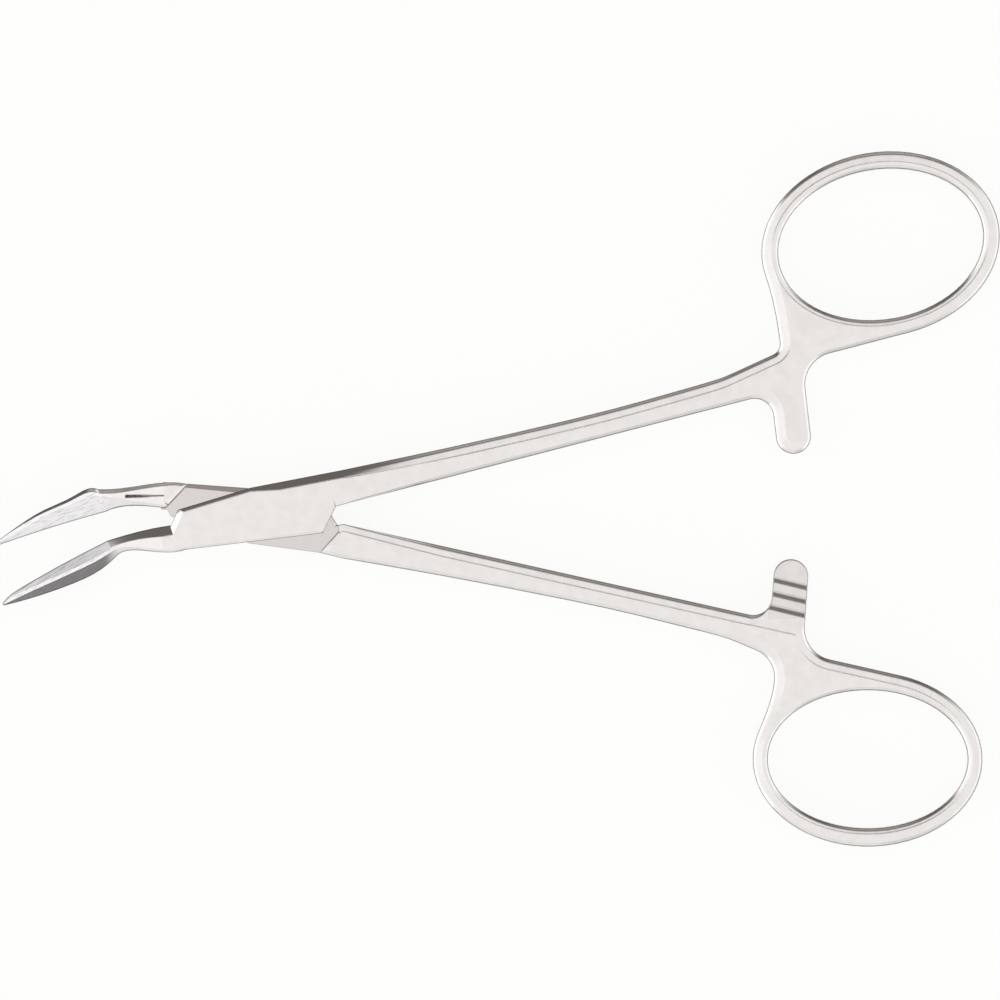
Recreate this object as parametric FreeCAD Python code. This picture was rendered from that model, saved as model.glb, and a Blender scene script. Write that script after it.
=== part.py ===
import FreeCAD, Part
import math
import os

# Splinter forceps: two forged halves joined by a box lock and a ground-flush rivet.
# Millimetres. X runs from the jaws to the finger rings, Y across, Z up out of the box's underside.
# The pivot stands on the origin. Each half is drawn closed, with its ring's side along Y, and then
# turned open by half of the rest opening.

# The joint: the opening shown at rest and the widest opening, both from closed, and the rivet
REST_OPENING = 11.4
FULL_OPENING = 40.0
PIN_DIAMETER = 2.4
PIN_RUNNING_CLEARANCE = 0.025

# The box lock: two walls with a slot between them, and the web that turns in the slot
BOX_THICKNESS = 5.0
BOX_WALL = 1.5
SLOT_CLEARANCE = 0.05
SLOT_SIDE_CLEARANCE = 0.1
BOX_BEVEL = 1.05
INNER_BEVEL = 1.0
LOWER_BEVEL = 0.3
JAW_SIDE_SHARE = 0.48
BEVEL_RUNOUT = 4.0
END_BEVEL = 0.8
END_BEVEL_DEPTH = 0.68
WEB_BEVEL = 0.72
WEB_BEVEL_DEPTH = 0.6
WEB_BEVEL_SHARE = 0.6

# The box in plan, closed, ring side up, as corners from the pivot
BOX_JAW_CORNER = (-9.7, 1.95)
BOX_CREST = (0.5, 3.8)
BOX_STRIP_END = (-11.7, -1.5)
BOX_HEEL = (-11.2, -3.59)
BOX_SHANK_CORNER = (9.6, -3.5)
BOX_SHANK_NOTCH = (11.75, -0.1)

# The web in plan, closed, jaw side up: its two long sides bend at a crest
WEB_JAW_TOP = (-12.2, 3.62)
WEB_CREST = (-0.75, 3.75)
WEB_SHANK_TOP = (11.1, 0.9)
WEB_SHANK_CORNER = (12.0, -0.3)
WEB_SHANK_LOW = (9.96, -4.25)
WEB_LOW_CREST = (0.3, -3.78)
WEB_JAW_LOW = (-10.8, -0.95)
WEB_JAW_CORNER = (-11.4, -0.12)
SHOULDER_JAW = ((-7.7, 5.0), (-11.26, 0.53), (-12.76, -1.2))
SHOULDER_SHANK = ((8.67, -6.0), (12.25, -1.15), (11.95, 0.5))
SHOULDER_BEVEL = 0.6
SHOULDER_BEVEL_DEPTH = 0.5

# The shanks: a straight inner edge, and the width across it at shares of the shank's length
SHANK_START = 12.9
SHANK_LENGTH = 54.6
SHANK_GAP = 0.12
SHANK_SPREAD = 7.85
SHANK_WIDTHS = ((0.0, 4.62), (0.25, 4.0), (0.5, 3.57), (0.75, 3.45), (0.9, 3.65), (1.0, 4.0))
SHANK_END_HEADING = 18.0
HANDLE_END_THICKNESS = 2.6
STEEP_BEVEL = 0.45
STEEP_BEVEL_DEPTH = 0.4
SHALLOW_BEVEL = 0.95
SHALLOW_BEVEL_DEPTH = 0.22

# Each half's ratchet bar from the shank's end, and its finger ring from the bar: ring centre, half
# length and half width of the hole and of the rim, tilt, the heading in which the flare leaves the
# ring on the shank's side, the flare's foot from the bar, and the blend from the foot to the shank
FEMALE_HANDLE = {
    "bar": 7.6, "ring": (14.9, 26.9), "hole": (14.15, 10.25), "rim": (16.4, 12.63), "tilt": 3.0,
    "flare": -77.0, "foot": -0.5, "blend": 1.6,
}
MALE_HANDLE = {
    "bar": 7.0, "ring": (12.47, 26.2), "hole": (13.7, 9.45), "rim": (15.72, 11.97), "tilt": -4.6,
    "flare": -73.0, "foot": -1.3, "blend": 4.0,
}
FOOT_HEADING = -89.0
RING_SIDE_HEADING = 8.0
START_STEP = 0.02
HOLE_STEEP_BEVEL = 0.4
HOLE_SHALLOW_BEVEL = 0.4
HOLE_STEEP_DEPTH = 0.35
HOLE_SHALLOW_DEPTH = 0.1

# The ratchet bars: the shank's inner facet runs on over one face and carries the notches
BAR_WIDTH = 4.75
BAR_REACH = -0.2
BAR_INNER_BLEND = 2.6
BAR_OUTER_BLEND = 4.4
FACET_CLEARANCE = 0.01
NOTCH_COUNT = 3
NOTCH_PITCH = 1.9
NOTCH_DEPTH = 0.45
NOTCH_WIDTH = 0.55
NOTCH_FIRST = 3.1
NOTCH_SLANT = 8.6

# The jaws: a shared grip line from its heel to the tip, bowed a little
GRIP_HEEL = (-19.8, -1.12)
GRIP_HEADING = 22.3
GRIP_BOW = 0.2
JAW_CLEARANCE = 0.015
NECK_RECESS = 0.01
LEAF_LENGTH = 16.8

# Neck sections from the box to the leaf: grip side point, back point, grip facet, back facet, thickness
FEMALE_NECK = (
    ((-9.2, 0.0), (-9.2, -3.58), 1.5, 0.3, 4.98),
    ((-12.4, -0.1), (-12.6, -3.55), 1.35, 0.35, 4.94),
    ((-15.2, -0.35), (-15.7, -2.93), 1.15, 0.4, 4.1),
)
MALE_NECK = (
    ((-8.6, 0.12), (-8.6, 3.6), 0.4, 0.45, 4.98),
    ((-12.4, 0.12), (-12.4, 3.52), 0.45, 0.5, 4.9),
    ((-16.2, 0.02), (-16.4, 2.62), 0.8, 0.55, 3.8),
)

# Leaf sections at even steps from heel to tip: width, ridge's share of it, thickness, grip's setback
FEMALE_LEAF = (
    (2.45, 0.55, 3.0, 0),
    (3.02, 0.52, 2.85, 0),
    (3.22, 0.49, 2.65, 0),
    (3.12, 0.47, 2.4, 0),
    (2.86, 0.46, 2.15, 0),
    (2.5, 0.45, 1.85, 0),
    (2.05, 0.45, 1.5, 0),
    (1.5, 0.47, 1.1, 0.05),
    (0.86, 0.5, 0.6, 0.55),
)
MALE_LEAF = (
    (3.25, 0.74, 3.0, 0),
    (3.58, 0.8, 2.85, 0),
    (3.08, 0.79, 2.65, 0),
    (2.78, 0.78, 2.4, 0),
    (2.5, 0.77, 2.15, 0),
    (2.02, 0.75, 1.85, 0),
    (1.42, 0.73, 1.5, 0),
    (0.8, 0.68, 1.1, 0),
    (0.32, 0.6, 0.6, 0.08),
)
FACET_STEEPNESS = 0.88
NECK_SLOPE = 0.6
FEMALE_LEAF_SLOPE = 0.44
MALE_LEAF_SLOPE = 0.34
EDGE_SHARE = 0.25
RIDGE_WIDTH = 0.45

# The crease along the male neck's front face: its ends, its width there and the neck's thickness there
CREASE_DEPTH = 1.7
NECK_CREASE = (((-17.2, 1.25), 0.45, 3.55), ((-11.9, 1.8), 0.16, 4.86))

MIDDLE = BOX_THICKNESS / 2
EDGE_DEPTH = STEEP_BEVEL_DEPTH + SHALLOW_BEVEL_DEPTH
CREASE_INSET = STEEP_BEVEL + SHALLOW_BEVEL
WEB_THICKNESS = BOX_THICKNESS - 2 * BOX_WALL - 2 * SLOT_CLEARANCE
WEB_TOP = MIDDLE + WEB_THICKNESS / 2

# The web's outline in plan, and how far its bends stand from the pivot
WEB_PLAN = [
    WEB_SHANK_CORNER,
    WEB_SHANK_TOP,
    WEB_CREST,
    WEB_JAW_TOP,
    (WEB_JAW_TOP[0], WEB_JAW_CORNER[1]),
    WEB_JAW_CORNER,
    WEB_JAW_LOW,
    WEB_LOW_CREST,
    WEB_SHANK_LOW,
]
WEB_RADIUS = max(math.hypot(*WEB_CREST), math.hypot(*WEB_LOW_CREST))


def vec(x, y, z=0.0):
    return FreeCAD.Vector(x, y, z)


def heading(degrees):
    return vec(math.cos(math.radians(degrees)), math.sin(math.radians(degrees)))


def turned(shape, degrees):
    copy = shape.copy()
    copy.rotate(vec(0, 0), vec(0, 0, 1), degrees)
    return copy


def other_side(shape):
    """The mirror image across the closed forceps' middle line."""
    return shape.mirror(vec(0, 0), vec(0, 1, 0))


def other_face(shape):
    """The mirror image through the middle of the thickness."""
    return shape.mirror(vec(0, 0, MIDDLE), vec(0, 0, 1))


def both_faces(shape):
    return [shape, other_face(shape)]


def prism(points, bottom, top):
    corners = [vec(x, y, bottom) for x, y in points]
    return Part.Face(Part.makePolygon(corners + corners[:1])).extrude(vec(0, 0, top - bottom))


def wedge_along(a, b, profile):
    """A bar along a plan line: the profile's points are (distance to the line's left, height)."""
    start = vec(*a)
    run = vec(*b) - start
    left = vec(-run.y, run.x).normalize()
    corners = [start + left * across + vec(0, 0, height) for across, height in profile]
    return Part.Face(Part.makePolygon(corners + corners[:1])).extrude(run)


def ground_edge(a, b, width, depth, level, share=1.0):
    """What is ground off the edge above a plan line, with the material on the line's left. At the
    line's end the cut is this share of its size at the start."""
    start, end = vec(*a), vec(*b)
    run = end - start
    left = vec(-run.y, run.x).normalize()
    wires = []
    for place, size in ((start, 1.0), (end, share)):
        reach = width * size
        profile = [(0, level - depth * size), (reach, level), (reach, level + 1), (0, level + 1)]
        corners = [place + left * across + vec(0, 0, height) for across, height in profile]
        wires.append(Part.makePolygon(corners + corners[:1]))
    return Part.makeLoft(wires, True, True)


def shank_edge(a, b):
    """The shank's two facets carried on along a plan line: the steep one and the shallow one."""
    steep = STEEP_BEVEL * EDGE_DEPTH / STEEP_BEVEL_DEPTH
    shallow_depth = CREASE_INSET * SHALLOW_BEVEL_DEPTH / SHALLOW_BEVEL
    return [
        ground_edge(a, b, steep, EDGE_DEPTH, BOX_THICKNESS),
        ground_edge(a, b, CREASE_INSET, shallow_depth, BOX_THICKNESS),
    ]


def line(a, b):
    return Part.LineSegment(a, b).toShape()


def crossing(a, direction_a, b, direction_b):
    """Where two lines in the plan meet."""
    gap = b - a
    turn = direction_a.x * direction_b.y - direction_a.y * direction_b.x
    along = (gap.x * direction_b.y - gap.y * direction_b.x) / turn
    return a + direction_a * along


def blend(before, corner, after, radius):
    """The arc that rounds a corner between two straight edges, with its end points."""
    back = (before - corner).normalize()
    ahead = (after - corner).normalize()
    half = back.getAngle(ahead) / 2
    start = corner + back * (radius / math.tan(half))
    end = corner + ahead * (radius / math.tan(half))
    inward = (back + ahead).normalize()
    middle = corner + inward * (radius / math.sin(half) - radius)
    return start, end, Part.Arc(start, middle, end).toShape()


def shank_line(x, across):
    """A point on the line that lies this far across the shank from its inner edge."""
    spread = math.radians(SHANK_SPREAD)
    return vec(x, SHANK_GAP / 2 + (x - SHANK_START) * math.tan(spread) + across / math.cos(spread))


def shank_x(share):
    return SHANK_START + share * SHANK_LENGTH


def bar_x(form):
    return shank_x(1) + form["bar"]


def ring_ellipse(form, edge, grow):
    """The ring's hole or rim as an ellipse, grown by a margin."""
    ellipse = Part.Ellipse(vec(0, 0), form[edge][0] + grow, form[edge][1] + grow)
    ellipse.rotate(FreeCAD.Placement(vec(0, 0), FreeCAD.Rotation(vec(0, 0, 1), form["tilt"])))
    ellipse.translate(vec(bar_x(form) + form["ring"][0], form["ring"][1]))
    return ellipse


def rim_turn(form, grow, way):
    """Where the rim, followed anticlockwise, has this heading."""
    local = heading(way - form["tilt"])
    return math.atan2(-local.x / (form["rim"][0] + grow), local.y / (form["rim"][1] + grow))


def handle_outline(form, inset, outer_start, inner_start, level):
    """Shank, ratchet bar, flare and ring as one closed wire, drawn in from the edges by an inset,
    which has values of its own where the two sides of the shank leave the box."""
    rim = ring_ellipse(form, "rim", -inset)
    right_turn = rim_turn(form, -inset, RING_SIDE_HEADING)
    left_turn = rim_turn(form, -inset, form["flare"]) + 2 * math.pi
    right = rim.value(right_turn)
    left = rim.value(left_turn)
    bar_left = bar_x(form) - BAR_WIDTH / 2 + inset
    bar_right = bar_x(form) + BAR_WIDTH / 2 - inset
    bar_end = BAR_REACH + BAR_WIDTH / 2

    gaps = [outer_start] + [inset] * (len(SHANK_WIDTHS) - 1)
    outer = [shank_line(shank_x(at), width - gap) for (at, width), gap in zip(SHANK_WIDTHS, gaps)]
    inner = [shank_line(SHANK_START, inner_start), shank_line(shank_x(SHANK_WIDTHS[1][0]), inset)]
    outer_way = heading(SHANK_END_HEADING)
    outer_edge = Part.BSplineCurve()
    start_way = (outer[1] - outer[0]).normalize()
    outer_edge.interpolate(Points=outer, InitialTangent=start_way, FinalTangent=outer_way)
    inner_corner = crossing(inner[1], heading(SHANK_SPREAD), vec(bar_left, 0), vec(0, 1))
    bar_corner = crossing(vec(bar_right, 0), vec(0, 1), right, heading(RING_SIDE_HEADING))
    foot = vec(bar_x(form) + form["foot"] + inset, left.y)
    foot_way = heading(FOOT_HEADING)
    outer_corner = crossing(outer[-1], outer_way, foot, foot_way)

    a1, a2, inner_blend = blend(inner[1], inner_corner, vec(bar_left, bar_end), BAR_INNER_BLEND + inset)
    b1, b2, bar_blend = blend(vec(bar_right, bar_end), bar_corner, right, BAR_OUTER_BLEND + inset)
    c1, c2, flare_blend = blend(foot, outer_corner, outer[-1], form["blend"] + inset)
    flare_side = Part.BSplineCurve()
    flare_side.interpolate(Points=[left, c1], InitialTangent=heading(form["flare"]), FinalTangent=foot_way)
    bar_middle = vec(bar_x(form), BAR_REACH + inset)
    bar_tip = Part.Arc(vec(bar_left, bar_end), bar_middle, vec(bar_right, bar_end))
    edges = [
        line(inner[0], inner[1]),
        line(inner[1], a1),
        inner_blend,
        line(a2, vec(bar_left, bar_end)),
        bar_tip.toShape(),
        line(vec(bar_right, bar_end), b1),
        bar_blend,
        line(b2, right),
        Part.ArcOfEllipse(rim, right_turn, left_turn).toShape(),
        flare_side.toShape(),
        flare_blend,
        line(c2, outer[-1]),
        outer_edge.toShape(),
        line(outer[0], inner[0]),
    ]
    wire = Part.Wire(edges)
    wire.translate(vec(0, 0, level))
    return wire


def hole_wire(form, grow, level):
    wire = Part.Wire([ring_ellipse(form, "hole", grow).toShape()])
    wire.translate(vec(0, 0, level))
    return wire


def tapered(shape, form):
    """Tips a handle's front face down towards the ring's far end."""
    run = bar_x(form) + form["ring"][0] + form["rim"][0] - SHANK_START
    slope = math.degrees(math.atan((BOX_THICKNESS - HANDLE_END_THICKNESS) / 2 / run))
    copy = shape.copy()
    copy.rotate(vec(SHANK_START, 0, BOX_THICKNESS), vec(0, 1, 0), slope)
    return copy


def ratchet_cut(form):
    """What is ground off the front face: the inner facet run on over the bar, and its notches."""
    top = BOX_THICKNESS + FACET_CLEARANCE
    middle = bar_x(form)
    fall = SHALLOW_BEVEL_DEPTH / SHALLOW_BEVEL
    start = shank_line(middle - BAR_WIDTH / 2 - BAR_INNER_BLEND - 1, CREASE_INSET)
    end = shank_line(middle + BAR_WIDTH / 2 + BAR_OUTER_BLEND, CREASE_INSET)
    depth = start.y - BAR_REACH + BAR_WIDTH
    profile = [(0, top), (-depth, top - depth * fall), (-depth, top + 1), (0, top + 1)]
    cuts = [wedge_along((start.x, start.y), (end.x, end.y), profile)]
    for step in range(NOTCH_COUNT):
        y = BAR_REACH + NOTCH_FIRST + step * NOTCH_PITCH
        below_crease = CREASE_INSET + (shank_line(middle, 0).y - y) * math.cos(math.radians(SHANK_SPREAD))
        low = top - below_crease * fall
        high = low + NOTCH_WIDTH * fall
        reach = heading(NOTCH_SLANT) * (BAR_WIDTH / 2 + 1)
        profile = [(0, low - NOTCH_DEPTH), (NOTCH_WIDTH, high), (NOTCH_WIDTH, high + 1), (0, high + 1)]
        cuts.append(wedge_along((middle - reach.x, y - reach.y), (middle + reach.x, y + reach.y), profile))
    return tapered(Part.makeCompound(cuts), form)


def handle(form, steep_start, crease_start, toothed_front):
    """The handle of one half with its taper and ground edges, ring towards +Y. The two starts are
    the insets of its outer facets where it leaves the box."""
    top = BOX_THICKNESS
    levels = [
        (0, 0, 0, 0),
        (0, 0, 0, top - EDGE_DEPTH),
        (STEEP_BEVEL, steep_start, START_STEP, top - SHALLOW_BEVEL_DEPTH),
        (CREASE_INSET, crease_start, INNER_BEVEL, top),
    ]
    blank = Part.makeLoft([handle_outline(form, *level) for level in levels], True, True)
    hole_edge = HOLE_STEEP_BEVEL + HOLE_SHALLOW_BEVEL
    hole_levels = [
        (0, -1),
        (0, top - HOLE_STEEP_DEPTH - HOLE_SHALLOW_DEPTH),
        (HOLE_STEEP_BEVEL, top - HOLE_SHALLOW_DEPTH),
        (hole_edge, top),
        (hole_edge, top + 1),
    ]
    hole = Part.makeLoft([hole_wire(form, grow, level) for grow, level in hole_levels], True, True)
    front = tapered(blank.cut(hole), form)
    box = front.BoundBox
    size = (box.XMax - SHANK_START + 1, box.YLength + 2, BOX_THICKNESS)
    front = front.common(Part.makeBox(*size, vec(SHANK_START, box.YMin - 1, MIDDLE)))
    whole = front.fuse(other_face(front))
    cut = ratchet_cut(form)
    if not toothed_front:
        cut = other_face(cut)
    return whole.cut(cut)


def jaw_section(grip, back, facet, flat, thickness, slope=FACET_STEEPNESS):
    """A section across a jaw: a facet down to the grip edge, a flat, and a facet to the back edge."""
    across = back - grip
    width = across.Length
    across.normalize()
    half = thickness / 2
    lowest = half * EDGE_SHARE
    grip_edge = max(lowest, half - slope * facet)
    back_edge = max(lowest, half - FACET_STEEPNESS * (width - facet - flat))
    outline = [(0, grip_edge), (facet, half), (facet + flat, half), (width, back_edge)]
    outline += [(u, -z) for u, z in reversed(outline)]
    corners = [grip + across * u + vec(0, 0, MIDDLE + z) for u, z in outline]
    return Part.makePolygon(corners + corners[:1])


def jaw(neck, leaf, slope, side):
    """Neck and leaf of one half. The side is 1 for the half above the grip line, -1 below."""
    heel = vec(*GRIP_HEEL)
    along = heading(180 + GRIP_HEADING)
    upward = vec(along.y, -along.x)
    blades = []
    for step, (width, ridge, thickness, setback) in enumerate(leaf):
        share = step / (len(leaf) - 1)
        edge = heel + along * (share * LEAF_LENGTH) + upward * (4 * GRIP_BOW * share * (1 - share))
        grip = edge + upward * (side * (JAW_CLEARANCE + setback))
        back = edge + upward * (side * (JAW_CLEARANCE + width))
        flat = min(RIDGE_WIDTH, (width - setback) * 0.3)
        facet = ridge * (width - setback) - flat / 2
        blades.append(jaw_section(grip, back, facet, flat, thickness, slope))
    necks = []
    for grip, back, facet, back_facet, thickness in neck:
        grip, back = vec(*grip), vec(*back)
        flat = (back - grip).Length - facet - back_facet
        necks.append(jaw_section(grip, back, facet, flat, thickness, NECK_SLOPE))
    necks.append(blades[0])
    whole = Part.makeLoft(necks, True, False).fuse(Part.makeLoft(blades, True, False))
    room = whole.BoundBox
    level = BOX_THICKNESS - 2 * NECK_RECESS
    corner = vec(room.XMin - 1, room.YMin - 1, NECK_RECESS)
    return whole.common(Part.makeBox(room.XLength + 2, room.YLength + 2, level, corner))


def neck_crease():
    """The narrow crease in the male neck's front face, a wedge that thins towards the box."""
    ends = []
    for (x, y), width, thickness in NECK_CREASE:
        surface = MIDDLE + thickness / 2
        low = vec(x, y, surface - width * CREASE_DEPTH)
        sides = [vec(x, y - width / 2, surface + 0.05), vec(x, y + width / 2, surface + 0.05)]
        ends.append(Part.makePolygon([low] + sides + [low]))
    return Part.makeLoft(ends, True, True)


def grown(points, margin):
    """A prism of a plan outline grown by a margin, as tall as the slot."""
    corners = [vec(x, y, BOX_WALL) for x, y in points]
    face = Part.Face(Part.makePolygon(corners + corners[:1]))
    return face.makeOffset2D(margin, 2).extrude(vec(0, 0, BOX_THICKNESS - 2 * BOX_WALL))


def female_half():
    start = shank_line(SHANK_START, 0)
    end = shank_line(SHANK_START, SHANK_WIDTHS[0][1])
    inner, outer = (start.x, start.y), (end.x, end.y)
    beyond = shank_line(SHANK_START + INNER_BEVEL, 0)
    plan = [BOX_JAW_CORNER, BOX_STRIP_END, BOX_HEEL, BOX_SHANK_CORNER, BOX_SHANK_NOTCH]
    plan += [inner, outer, BOX_CREST]
    box = prism(plan, 0, BOX_THICKNESS)
    past_crest = vec(*BOX_CREST) + (end - vec(*BOX_CREST)).normalize() * BEVEL_RUNOUT
    run_out = (past_crest.x, past_crest.y)
    edges = [
        (outer, run_out, BOX_BEVEL, EDGE_DEPTH, 1),
        (run_out, BOX_CREST, BOX_BEVEL, EDGE_DEPTH, JAW_SIDE_SHARE),
        (BOX_CREST, BOX_JAW_CORNER, BOX_BEVEL * JAW_SIDE_SHARE, EDGE_DEPTH * JAW_SIDE_SHARE, 1),
        (BOX_JAW_CORNER, BOX_STRIP_END, END_BEVEL, END_BEVEL_DEPTH, 1),
        (BOX_HEEL, BOX_SHANK_CORNER, LOWER_BEVEL, LOWER_BEVEL, 1),
        (BOX_SHANK_NOTCH, (beyond.x, beyond.y), INNER_BEVEL, SHALLOW_BEVEL_DEPTH, 1),
    ]
    cuts = []
    for a, b, width, depth, share in edges:
        cuts += both_faces(ground_edge(a, b, width, depth, BOX_THICKNESS, share))
    steep_start = BOX_BEVEL * STEEP_BEVEL_DEPTH / EDGE_DEPTH
    shank_and_ring = handle(FEMALE_HANDLE, steep_start, BOX_BEVEL, False)
    half = box.cut(cuts).fuse([shank_and_ring, jaw(FEMALE_NECK, FEMALE_LEAF, FEMALE_LEAF_SLOPE, -1)])
    slot = grown(WEB_PLAN, SLOT_SIDE_CLEARANCE)
    slot_width = BOX_THICKNESS - 2 * BOX_WALL
    disc = Part.makeCylinder(WEB_RADIUS + SLOT_SIDE_CLEARANCE, slot_width, vec(0, 0, BOX_WALL))
    bore = Part.makeCylinder(PIN_DIAMETER / 2, BOX_THICKNESS)
    return half.cut([slot, turned(slot, -FULL_OPENING), disc, bore]).removeSplitter()


def male_half():
    start = shank_line(SHANK_START, 0)
    end = shank_line(SHANK_START, SHANK_WIDTHS[0][1])
    inner, outer = (start.x, -start.y), (end.x, -end.y)
    above, below = SHOULDER_JAW[0][1], SHOULDER_SHANK[0][1]
    shank_side = list(SHOULDER_SHANK) + [(SHOULDER_SHANK[2][0], above)]
    jaw_side = list(SHOULDER_JAW) + [(SHOULDER_JAW[2][0], below)]
    far_left = 2 * WEB_JAW_TOP[0]
    web_cheek = prism([(far_left, above), (far_left, below)] + shank_side, WEB_TOP, BOX_THICKNESS + 1)
    web = prism(WEB_PLAN + [outer, inner], 0, BOX_THICKNESS).cut(both_faces(web_cheek))
    shank_and_ring = other_side(handle(MALE_HANDLE, STEEP_BEVEL, CREASE_INSET, True))
    half = web.fuse([shank_and_ring, jaw(MALE_NECK, MALE_LEAF, MALE_LEAF_SLOPE, 1)])
    cuts = both_faces(prism(jaw_side + shank_side, WEB_TOP, BOX_THICKNESS + 1)) + [neck_crease()]
    edges = [
        (WEB_CREST, WEB_JAW_TOP, WEB_BEVEL, WEB_BEVEL_DEPTH, WEB_TOP, WEB_BEVEL_SHARE),
        (SHOULDER_JAW[1], SHOULDER_JAW[0], SHOULDER_BEVEL, SHOULDER_BEVEL_DEPTH, BOX_THICKNESS, 0.4),
        (SHOULDER_SHANK[1], SHOULDER_SHANK[0], SHOULDER_BEVEL, SHOULDER_BEVEL_DEPTH, BOX_THICKNESS, 1),
        (WEB_SHANK_CORNER, WEB_SHANK_TOP, WEB_BEVEL / 2, WEB_BEVEL_DEPTH / 2, WEB_TOP, 1),
        (inner, WEB_SHANK_CORNER, INNER_BEVEL, SHALLOW_BEVEL_DEPTH, BOX_THICKNESS, 1),
    ]
    for a, b, width, depth, level, share in edges:
        cuts += both_faces(ground_edge(a, b, width, depth, level, share))
    for cut in shank_edge(WEB_SHANK_LOW, outer):
        cuts += both_faces(cut)
    cuts.append(Part.makeCylinder(PIN_DIAMETER / 2 + PIN_RUNNING_CLEARANCE, BOX_THICKNESS))
    return half.cut(cuts).removeSplitter()


def main():
    os.makedirs("parts", exist_ok=True)
    turned(female_half(), REST_OPENING / 2).exportStep("parts/female_half.step")
    turned(male_half(), -REST_OPENING / 2).exportStep("parts/male_half.step")
    pin = Part.makeCylinder(PIN_DIAMETER / 2, BOX_THICKNESS)
    pin.exportStep("parts/pivot_pin.step")


if __name__ == "__main__":
    main()
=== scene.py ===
import bpy
import math
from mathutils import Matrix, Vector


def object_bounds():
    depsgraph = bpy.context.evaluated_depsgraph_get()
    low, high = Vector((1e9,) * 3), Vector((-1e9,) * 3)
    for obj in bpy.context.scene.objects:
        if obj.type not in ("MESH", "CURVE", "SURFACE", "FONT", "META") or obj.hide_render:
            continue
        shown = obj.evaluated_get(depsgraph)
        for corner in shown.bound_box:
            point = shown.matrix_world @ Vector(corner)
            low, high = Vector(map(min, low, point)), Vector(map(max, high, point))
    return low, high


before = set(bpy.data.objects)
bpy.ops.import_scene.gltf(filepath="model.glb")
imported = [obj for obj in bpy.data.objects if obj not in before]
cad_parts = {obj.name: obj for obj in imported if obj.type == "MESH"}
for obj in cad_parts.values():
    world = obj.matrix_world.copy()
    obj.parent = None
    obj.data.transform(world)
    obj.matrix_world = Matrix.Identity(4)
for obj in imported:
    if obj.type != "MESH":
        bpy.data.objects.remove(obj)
cad_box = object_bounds()

# Splinter forceps in satin stainless steel, lying on a white table and seen from straight above.
# Metres, in the frame's own axes: X from the jaws to the finger rings, Z up.
# A pair of numbers says where a change starts and where it ends.

# The view
VIEW_CENTRE = (0.03421, 0.00159)
VIEW_WIDTH = 0.1367
VIEW_ROLL = math.radians(-0.95)
VIEW_LEVEL = 0.0043
LENS = 240.0
SENSOR = 36.0

# The steel's colours: plain, then on the web, on the jaws, the painted shade on the jaws' facets that
# face -Y, in the scores, and the painted shade along the edges
STEEL_PALE = (0.83, 0.803, 0.785)
STEEL_WARM = (0.77, 0.735, 0.71)
WARM_SHARE = 0.5
WEB_TONE = (0.66, 0.62, 0.60)
WEB_SHARE = 0.8
JAW_TONE = (0.89, 0.875, 0.88)
FACET_SHADE_TONE = (0.255, 0.24, 0.247)
SCORE_TONE = (0.38, 0.36, 0.38)
EDGE_SHADE_TONE = (0.13, 0.115, 0.11)
EDGE_SHADE_SHARE = 0.92

# The polish that all the steel has, and how its clouds and its fine grain share in its gloss
POLISH = {"Cloud Size": 0.0016, "Gloss Low": 0.12, "Gloss High": 0.16, "Grain Height": 0.0000004}
CLOUD_DETAIL = 3.0
CLOUD_SHARE = 0.6
GRAIN_FINENESS = 14.0
WORN_SPAN = (0.2, 0.8)
NOISE_SPAN = (0.3, 0.7)

# The broken edges, and the painted shade line beside them: on the handle, box, jaws, rings and bevelled bars
EDGE_RADIUS = 0.00034
BOX_EDGE_RADIUS = 0.0002
JAW_EDGE_RADIUS = 0.00008
RING_EDGE_RADIUS = 0.00036
SHADE_LINE_WIDTH = 0.0004
BOX_SHADE_LINE_WIDTH = 0.0003
BEVEL_SHADE_LINE_WIDTH = 0.0005
EDGE_SAMPLES = 8

# The painted shade line lies where the rounding of an edge turns a face away from its own slope, and well
# down
SHADE_LINE_DROP = (0.03, 0.08)
SHADE_LINE_TURNED = (0.82, 0.88)

# Where the finish changes on the halves: the box lock around the pivot, the jaws from their necks,
# the shanks up to the ratchet bars, and the rings
MID_LEVEL = (cad_box[0][2] + cad_box[1][2]) / 2
WEB_REACH = 0.0135
WEB_LEVEL = 0.00347
BOX_END = (WEB_REACH, WEB_REACH + 0.001)
JAW_START = -0.0182
JAW_END = (JAW_START - 0.002, JAW_START)
SHANK_START = (WEB_REACH, WEB_REACH + 0.004)
SHANK_END = (0.06, 0.064)
RING_START = 0.076
RING_BEVEL = (RING_START, RING_START + 0.004)
RING_EDGE = (RING_START, RING_START + 0.008)

# The jaws: the painted shade on the facets of both that face -Y, and the belt's lines, with deeper
# scores that cross them at a small angle, in radians, and fade on the steep walls
FACET_SHADE_FACING = (-0.5, -0.38)
WALL_FACING = (0.2, 0.5)
WALL_SHARE = 0.3
JAW_HEADING = math.radians(22.3)
SCORE_TURN = 0.15
BELT_LINES = {"Line Size": 0.00016, "Stretch": 12.0}
SCORE_LINES = {"Line Size": 0.00018, "Stretch": 14.0}
LINE_DETAIL = 4.0
LINE_SHARE = 0.2
SCORE_SPAN = (0.68, 0.92)
SCORE_SHARE = 0.55
JAW_GLOSS = 0.06
LINE_ROUGHNESS = 0.03
LINE_HEIGHT = 0.000002
LINE_STRENGTH = 0.5

# The angle between the halves as they lie at rest
OPENING = math.radians(11.4)

# The crease along the male neck, at rest: its end by the box, where it runs from there, and the painted shade
# in it
CREASE_END = (-0.01166, 0.00297, 0.0)
CREASE_HEADING = math.radians(0.22)
CREASE_LENGTH = 0.00533
CREASE_TIP_WIDTH = 0.00022
CREASE_END_WIDTH = 0.00014
CREASE_LEVEL = 0.003
CREASE_SHADE_TONE = (0.26, 0.235, 0.22)
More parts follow.
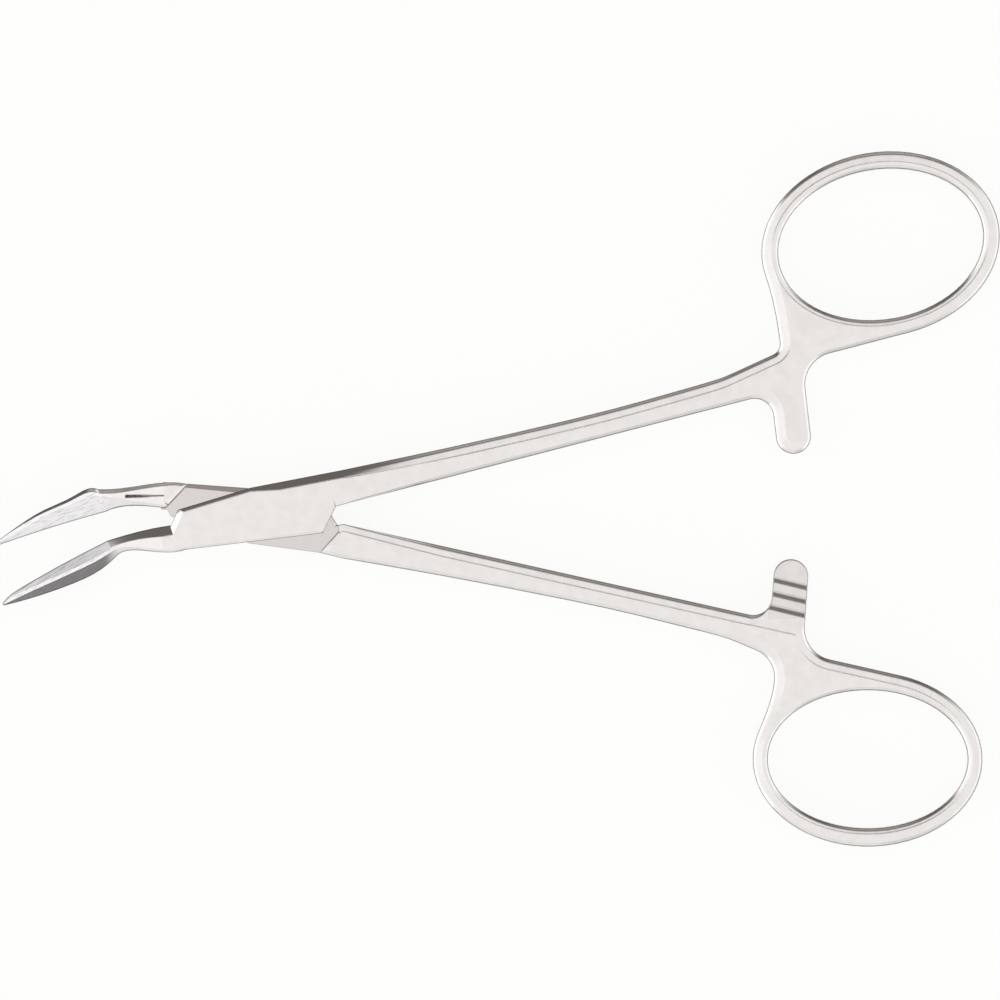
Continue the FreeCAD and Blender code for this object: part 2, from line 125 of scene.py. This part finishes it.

# The painted shade on the slopes of the notches in the male half's bar
TOOTH_START = 0.0706
TOOTH_END = 0.079
TOOTH_REACH = -0.0153
NOTCH_FACING = (0.94, 0.985)
NOTCH_SHADE_TONE = (0.5, 0.46, 0.44)

# The rivet: how far around it edges stay sharp, and the rate of its turned rings in radians per metre
RIVET_REACH = 0.0017
TURNING_RATE = 60000.0
TURNING_HEIGHT = 0.000001
TURNING_STRENGTH = 0.2

# The table, and the white that the camera sees
TABLE_SIZE = 4.0
TABLE_PAINT = (1, 1, 0.995, 1)
TABLE_GLOW = 0.9
SURROUND = (1, 1, 0.99, 1)

# The room in the steel, by its directions: each part of it has its reach, then its light
ZENITH_LEFT = (0.05, 0.11)
ZENITH = (0.93, 0.96)
ZENITH_LIGHT = 0.14
LEFT = (0.3, 0.42)
LEFT_RISE = (0.5, 0.8)
LEFT_LIGHT = 0.2
LOW = (0.25, 0.38)
LOW_LEFT = (0.68, 0.76)
LOW_LEFT_LIGHT = 0.6
LOW_RIGHT = (0.55, 0.75)
LOW_RIGHT_LIGHT = 0.25
BEHIND = (0.42, 0.84)
BEHIND_LIGHT = 0.15
FAR_BEHIND = (0.9, 0.98)
FAR_BEHIND_LIGHT = 0.27
ARC_START = (0.93, 0.955)
ARC_END = (0.98, 0.99)
ARC_BEHIND = (0.08, 0.16)
ARC_LIGHT = 0.02
FRONT = (0.76, 0.83)
FRONT_RISE = (0.5, 0.65)
FRONT_RIGHT = (0.12, 0.18)
FRONT_LEFT_DIMMING = 0.05
FRONT_RIGHT_DIMMING = 0.2
WARM_BEHIND = (0.62, 0.84)
WHITE = (1.0, 1.0, 1.0)
WARM_LIGHT = (1.0, 0.93, 0.88)


def shader_tree(owner):
    """An emptied node tree."""
    owner.use_nodes = True
    tree = owner.node_tree
    tree.nodes.clear()
    return tree


def node(tree, kind, settings=None, inputs=None):
    """A node with its settings, and with plain values or links on its inputs."""
    made = tree.nodes.new(kind)
    for name, value in (settings or {}).items():
        setattr(made, name, value)
    for name, value in (inputs or {}).items():
        if isinstance(value, bpy.types.NodeSocket):
            tree.links.new(value, made.inputs[name])
        else:
            made.inputs[name].default_value = value
    return made


def maths(tree, operation, a, b=0.0, c=0.0):
    return node(tree, "ShaderNodeMath", {"operation": operation}, {0: a, 1: b, 2: c}).outputs[0]


def product(tree, first, *others):
    """Masks and levels multiplied together."""
    for other in others:
        first = maths(tree, "MULTIPLY", first, other)
    return first


def within(tree, value, low, high):
    """A mask that is full between two limits."""
    return product(tree, maths(tree, "GREATER_THAN", value, low), maths(tree, "LESS_THAN", value, high))


def eased(tree, value, low, high, at_low=0.0, at_high=1.0):
    """A smooth change from one level to another as a value rises."""
    inputs = {0: value, 1: low, 2: high, 3: at_low, 4: at_high}
    return node(tree, "ShaderNodeMapRange", {"interpolation_type": "SMOOTHSTEP"}, inputs).outputs[0]


def mixed(tree, share, first, second):
    """A colour that goes over to another as a mask rises."""
    first, second = (colour if isinstance(colour, bpy.types.NodeSocket) else (*colour, 1)
                     for colour in (first, second))
    inputs = {0: share, 6: first, 7: second}
    return node(tree, "ShaderNodeMix", {"data_type": "RGBA"}, inputs).outputs[2]


def noise(tree, place, scale, detail=2.0):
    inputs = {"Vector": place, "Scale": scale, "Detail": detail}
    return node(tree, "ShaderNodeTexNoise", None, inputs).outputs["Fac"]


def vector(tree, operation, a, b=(0.0, 0.0, 0.0)):
    return node(tree, "ShaderNodeVectorMath", {"operation": operation}, {0: a, 1: b})


def axes(tree, value):
    """A vector's X, Y and Z."""
    return node(tree, "ShaderNodeSeparateXYZ", None, {0: value}).outputs


def from_pivot(tree, place):
    """How far a place is from the pivot's axis."""
    flat = vector(tree, "MULTIPLY", place, (1, 1, 0)).outputs[0]
    return vector(tree, "LENGTH", flat).outputs["Value"]


def turned(tree, place, angle, centre=(0.0, 0.0, 0.0)):
    """A place turned in plan about a centre."""
    spin = {"Vector": place, "Center": centre, "Angle": angle}
    return node(tree, "ShaderNodeVectorRotate", {"rotation_type": "Z_AXIS"}, spin).outputs[0]


def bumped(tree, normal, height, distance, strength=1.0):
    """A normal with a relief on it."""
    inputs = {"Height": height, "Strength": strength, "Distance": distance, "Normal": normal}
    return node(tree, "ShaderNodeBump", None, inputs).outputs[0]


def rounded(tree, radius):
    """The normal as it turns over a broken edge."""
    return node(tree, "ShaderNodeBevel", {"samples": EDGE_SAMPLES}, {"Radius": radius}).outputs[0]


def upright(tree, normal):
    """How far a surface faces straight up or down."""
    return maths(tree, "ABSOLUTE", axes(tree, normal)[2])


def group_tree(name, vectors, numbers, outputs):
    """A shader node group with its named sockets, and its input sockets and output node."""
    tree = bpy.data.node_groups.new(name, "ShaderNodeTree")
    for labels, kind in ((vectors, "NodeSocketVector"), (numbers, "NodeSocketFloat")):
        for label in labels:
            tree.interface.new_socket(label, in_out="INPUT", socket_type=kind)
    for label, kind in outputs.items():
        tree.interface.new_socket(label, in_out="OUTPUT", socket_type="NodeSocket" + kind)
    return tree, tree.nodes.new("NodeGroupInput").outputs, tree.nodes.new("NodeGroupOutput")


def put_out(tree, made, values):
    """The finished group, with its values on its output sockets."""
    for label, value in values.items():
        tree.links.new(value, made.inputs[label])
    return tree


def use(tree, group, inputs):
    """A group placed in a material with its own values."""
    return node(tree, "ShaderNodeGroup", {"node_tree": group}, inputs).outputs


def polish_group():
    """Polished forged steel: faint clouds in tone and gloss, a fine grain, and broken edges. Its last output
    is a mask of painted shade along the line where a face turns down into a side wall."""
    numbers = ("Cloud Size", "Gloss Low", "Gloss High", "Grain Height", "Edge Radius", "Shade Line Width")
    outputs = {"Colour": "Color", "Roughness": "Float", "Normal": "Vector", "Edge Shade": "Float"}
    tree, given, made = group_tree("polish", ("Place",), numbers, outputs)
    scale = maths(tree, "DIVIDE", 1.0, given["Cloud Size"])
    cloud = eased(tree, noise(tree, given["Place"], scale, CLOUD_DETAIL), *NOISE_SPAN)
    grain = noise(tree, given["Place"], maths(tree, "MULTIPLY", scale, GRAIN_FINENESS))
    worn = maths(tree, "ADD", product(tree, cloud, CLOUD_SHARE), product(tree, grain, 1.0 - CLOUD_SHARE))
    low, high = WORN_SPAN
    gloss = {0: worn, 1: low, 2: high, 3: given["Gloss Low"], 4: given["Gloss High"]}
    level = upright(tree, node(tree, "ShaderNodeNewGeometry").outputs["Normal"])
    rounded_level = upright(tree, rounded(tree, given["Shade Line Width"]))
    drop = maths(tree, "SUBTRACT", level, rounded_level)
    return put_out(tree, made, {
        "Colour": mixed(tree, product(tree, cloud, WARM_SHARE), STEEL_PALE, STEEL_WARM),
        "Roughness": node(tree, "ShaderNodeMapRange", None, gloss).outputs[0],
        "Normal": bumped(tree, rounded(tree, given["Edge Radius"]), grain, given["Grain Height"]),
        "Edge Shade": product(tree, eased(tree, drop, *SHADE_LINE_DROP), eased(tree, rounded_level, *SHADE_LINE_TURNED, 1.0, 0.0)),
    })


def grinding_group():
    """Fine lines left by a belt: noise drawn out along one heading, as a mask."""
    numbers = ("Heading", "Line Size", "Stretch")
    tree, given, made = group_tree("grinding_lines", ("Place",), numbers, {"Lines": "Float"})
    laid = turned(tree, given["Place"], maths(tree, "MULTIPLY", given["Heading"], -1.0))
    x, y, z = axes(tree, laid)
    drawn = maths(tree, "DIVIDE", x, given["Stretch"])
    along = node(tree, "ShaderNodeCombineXYZ", None, {0: drawn, 1: y, 2: z}).outputs[0]
    lines = noise(tree, along, maths(tree, "DIVIDE", 1.0, given["Line Size"]), LINE_DETAIL)
    return put_out(tree, made, {"Lines": eased(tree, lines, *NOISE_SPAN)})


def regions_group():
    """The regions of a half, as masks, and how its edges are broken in them and along its handle. The
    web is told by its place alone, so its mask also takes in the side walls by the box at its level.
    Around the rivet the edges stay sharp."""
    outputs = dict.fromkeys(("Web", "Jaw", "Facet Shade", "Edge Radius", "Shade Line Width"), "Float")
    tree, given, made = group_tree("half_regions", ("Place", "Facing"), (), outputs)
    x, y, z = axes(tree, given["Place"])
    away = from_pivot(tree, given["Place"])
    height = maths(tree, "ABSOLUTE", maths(tree, "SUBTRACT", z, MID_LEVEL))
    inside = maths(tree, "LESS_THAN", height, WEB_LEVEL - MID_LEVEL)
    web = product(tree, inside, maths(tree, "LESS_THAN", away, WEB_REACH), WEB_SHARE)
    jaw = eased(tree, x, *JAW_END, 1.0, 0.0)
    # Painted shade on the jaw facets that face -Y
    dark = eased(tree, axes(tree, given["Facing"])[1], *FACET_SHADE_FACING, 1.0, 0.0)
    off_rivet = maths(tree, "GREATER_THAN", away, RIVET_REACH)
    radius = maths(tree, "ADD", eased(tree, x, *JAW_END, JAW_EDGE_RADIUS, EDGE_RADIUS),
                   eased(tree, x, *RING_EDGE, 0.0, RING_EDGE_RADIUS - EDGE_RADIUS))
    radius = maths(tree, "ADD", radius, eased(tree, away, *BOX_END, BOX_EDGE_RADIUS - EDGE_RADIUS, 0.0))
    shank = product(tree, eased(tree, x, *SHANK_START), eased(tree, x, *SHANK_END, 1.0, 0.0))
    bevelled = maths(tree, "ADD", shank, eased(tree, x, *RING_BEVEL))
    # The width of the painted shade line along the edges
    width = maths(tree, "ADD", eased(tree, away, *BOX_END, BOX_SHADE_LINE_WIDTH, SHADE_LINE_WIDTH),
                  product(tree, bevelled, BEVEL_SHADE_LINE_WIDTH - SHADE_LINE_WIDTH))
    return put_out(tree, made, {
        "Web": web,
        "Jaw": jaw,
        "Facet Shade": product(tree, jaw, dark),
        "Edge Radius": product(tree, off_rivet, radius),
        "Shade Line Width": product(tree, off_rivet, width),
    })


def crease(tree, place):
    """Painted shade in the narrow crease along the male neck's front face."""
    laid = vector(tree, "SUBTRACT", turned(tree, place, -CREASE_HEADING, CREASE_END), CREASE_END)
    x, y, z = axes(tree, laid.outputs[0])
    half = eased(tree, x, -CREASE_LENGTH, 0.0, CREASE_TIP_WIDTH / 2, CREASE_END_WIDTH / 2)
    inside = maths(tree, "LESS_THAN", maths(tree, "ABSOLUTE", y), half)
    on_front = maths(tree, "GREATER_THAN", z, CREASE_LEVEL)
    return product(tree, inside, within(tree, x, -CREASE_LENGTH, 0.0), on_front)


def notches(tree, place, level):
    """Painted shade on the sloping sides of the bar's notches."""
    x, y, z = axes(tree, place)
    sloped = eased(tree, level, *NOTCH_FACING, 1.0, 0.0)
    on_bar = within(tree, x, TOOTH_START, TOOTH_END)
    return product(tree, sloped, on_bar, maths(tree, "GREATER_THAN", y, TOOTH_REACH))


def metal(tree, colour, rough, normal):
    """The bare metal's surface, as the material's own."""
    shader = {"Base Color": colour, "Metallic": 1.0, "Roughness": rough, "Normal": normal}
    surface = node(tree, "ShaderNodeBsdfPrincipled", None, shader).outputs[0]
    node(tree, "ShaderNodeOutputMaterial", None, {"Surface": surface})


def half_steel(name, groups, jaw_heading, shaded_hollows):
    """The steel of one half: satin on the box and handle, with a ground jaw and a darker web. With the last
    flag set, a half has painted shade in its crease and in its notches."""
    polish, grinding, regions = groups
    material = bpy.data.materials.new(name)
    tree = shader_tree(material)
    own = node(tree, "ShaderNodeTexCoord").outputs
    place = own["Object"]
    level = upright(tree, own["Normal"])
    region = use(tree, regions, {"Place": place, "Facing": own["Normal"]})
    edges = {"Edge Radius": region["Edge Radius"], "Shade Line Width": region["Shade Line Width"]}
    finish = use(tree, polish, {"Place": place, **POLISH, **edges})
    lines = use(tree, grinding, {"Place": place, "Heading": jaw_heading, **BELT_LINES})["Lines"]
    deep = use(tree, grinding, {"Place": place, "Heading": jaw_heading + SCORE_TURN, **SCORE_LINES})["Lines"]
    deep = eased(tree, deep, *SCORE_SPAN, 0.0, SCORE_SHARE)
    scores = maths(tree, "MAXIMUM", deep, product(tree, lines, LINE_SHARE))
    scores = product(tree, scores, region["Jaw"], eased(tree, level, *WALL_FACING, WALL_SHARE))
    # The jaw's tone, then the painted shade on its facets that face -Y
    tones = [(region["Jaw"], JAW_TONE), (region["Facet Shade"], FACET_SHADE_TONE)]
    tones += [(region["Web"], WEB_TONE), (scores, SCORE_TONE)]
    # Painted shade along the edges
    tones += [(product(tree, finish["Edge Shade"], EDGE_SHADE_SHARE), EDGE_SHADE_TONE)]
    # Painted shade in the crease and in the notches
    if shaded_hollows:
        tones += [(crease(tree, place), CREASE_SHADE_TONE), (notches(tree, place, level), NOTCH_SHADE_TONE)]
    colour = finish["Colour"]
    for share, tone in tones:
        colour = mixed(tree, share, colour, tone)
    ground = product(tree, lines, region["Jaw"])
    rough = maths(tree, "SUBTRACT", finish["Roughness"], product(tree, region["Jaw"], JAW_GLOSS))
    rough = maths(tree, "ADD", rough, product(tree, ground, LINE_ROUGHNESS))
    metal(tree, colour, rough, bumped(tree, finish["Normal"], ground, LINE_HEIGHT, LINE_STRENGTH))
    return material


def rivet_steel(polish):
    """The rivet's ground ends: turned rings about its middle."""
    material = bpy.data.materials.new("rivet_steel")
    tree = shader_tree(material)
    place = node(tree, "ShaderNodeTexCoord").outputs["Object"]
    finish = use(tree, polish, {"Place": place, **POLISH, "Edge Radius": 0.0, "Shade Line Width": 0.0})
    rings = maths(tree, "SINE", maths(tree, "MULTIPLY", from_pivot(tree, place), TURNING_RATE))
    turnings = bumped(tree, finish["Normal"], rings, TURNING_HEIGHT, TURNING_STRENGTH)
    metal(tree, finish["Colour"], finish["Roughness"], turnings)
    return material


def table():
    """A white table top that keeps the forceps' shadow."""
    bpy.ops.mesh.primitive_plane_add(size=TABLE_SIZE)
    top = bpy.context.object
    top.name = "table"
    material = bpy.data.materials.new("white_table")
    tree = shader_tree(material)
    rays = node(tree, "ShaderNodeLightPath").outputs
    seen = maths(tree, "ADD", rays["Is Camera Ray"], rays["Is Glossy Ray"])
    seen = maths(tree, "ADD", seen, rays["Is Transmission Ray"])
    plain = product(tree, maths(tree, "MINIMUM", seen, 1.0), TABLE_GLOW)
    paint = node(tree, "ShaderNodeBsdfDiffuse", None, {"Color": TABLE_PAINT}).outputs[0]
    white = node(tree, "ShaderNodeEmission", None, {"Color": SURROUND, "Strength": 1.0}).outputs[0]
    blend = node(tree, "ShaderNodeMixShader", None, {0: plain, 1: paint, 2: white}).outputs[0]
    node(tree, "ShaderNodeOutputMaterial", None, {"Surface": blend})
    top.data.materials.append(material)
    top.location.z = cad_box[0][2]


def room_light(tree, way):
    """The room in the steel: bright high on the left and low down at both sides, dark behind and
    low down in front, with a dim arc near the zenith that draws the creases between the facets."""
    x, y, z = axes(tree, way)
    toward = maths(tree, "MULTIPLY", y, -1.0)
    leftward = maths(tree, "MULTIPLY", x, -1.0)
    high_left = product(tree, eased(tree, leftward, *ZENITH_LEFT), eased(tree, z, *ZENITH, 0.0, ZENITH_LIGHT))
    left = product(tree, eased(tree, leftward, *LEFT, 0.0, LEFT_LIGHT), eased(tree, z, *LEFT_RISE))
    sides = maths(tree, "ADD", 1.0, maths(tree, "ADD", high_left, left))
    behind = maths(tree, "ADD", eased(tree, y, *BEHIND, 1.0, BEHIND_LIGHT),
                   eased(tree, y, *FAR_BEHIND, 0.0, FAR_BEHIND_LIGHT))
    arc = product(tree, eased(tree, z, *ARC_START), eased(tree, z, *ARC_END, 1.0, 0.0),
                  eased(tree, y, *ARC_BEHIND))
    arc = eased(tree, arc, 0.0, 1.0, 1.0, ARC_LIGHT)
    dimming = eased(tree, x, *FRONT_RIGHT, FRONT_LEFT_DIMMING, FRONT_RIGHT_DIMMING)
    dimming = product(tree, eased(tree, toward, *FRONT), eased(tree, z, *FRONT_RISE, 1.0, 0.0), dimming)
    light = product(tree, sides, behind, arc, maths(tree, "SUBTRACT", 1.0, dimming))
    low = maths(tree, "ADD", eased(tree, leftward, *LOW_LEFT, 0.0, LOW_LEFT_LIGHT),
                eased(tree, x, *LOW_RIGHT, 0.0, LOW_RIGHT_LIGHT))
    light = maths(tree, "ADD", light, product(tree, low, eased(tree, z, *LOW, 1.0, 0.0)))
    tint = mixed(tree, eased(tree, y, *WARM_BEHIND), WHITE, WARM_LIGHT)
    return node(tree, "ShaderNodeBackground", None, {"Color": tint, "Strength": light}).outputs[0]


def room():
    """The room as the steel reflects it, and the plain white that the camera sees."""
    world = bpy.data.worlds.new("pale_room")
    bpy.context.scene.world = world
    tree = shader_tree(world)
    glow = room_light(tree, node(tree, "ShaderNodeTexCoord").outputs["Generated"])
    plain = node(tree, "ShaderNodeBackground", None, {"Color": SURROUND, "Strength": 1.0}).outputs[0]
    seen = node(tree, "ShaderNodeLightPath").outputs["Is Camera Ray"]
    both = node(tree, "ShaderNodeMixShader", None, {0: seen, 1: glow, 2: plain}).outputs[0]
    node(tree, "ShaderNodeOutputWorld", None, {"Surface": both})


def camera():
    """A long lens straight above, as far away as shows the view's width."""
    data = bpy.data.cameras.new("camera")
    data.lens = LENS
    data.sensor_width = SENSOR
    eye = bpy.data.objects.new("camera", data)
    bpy.context.collection.objects.link(eye)
    eye.location = (*VIEW_CENTRE, VIEW_LEVEL + VIEW_WIDTH * LENS / SENSOR)
    eye.rotation_euler = (0, 0, VIEW_ROLL)
    bpy.context.scene.camera = eye


def dress(name, material):
    """A piece in one material."""
    for slot in bpy.data.objects[name].material_slots:
        slot.material = material


groups = polish_group(), grinding_group(), regions_group()
dress("female_half", half_steel("female_steel", groups, JAW_HEADING + OPENING / 2, shaded_hollows=False))
dress("male_half", half_steel("male_steel", groups, JAW_HEADING - OPENING / 2, shaded_hollows=True))
dress("pivot_pin", rivet_steel(groups[0]))
table()
room()
camera()
bpy.context.scene.view_settings.view_transform = "Standard"
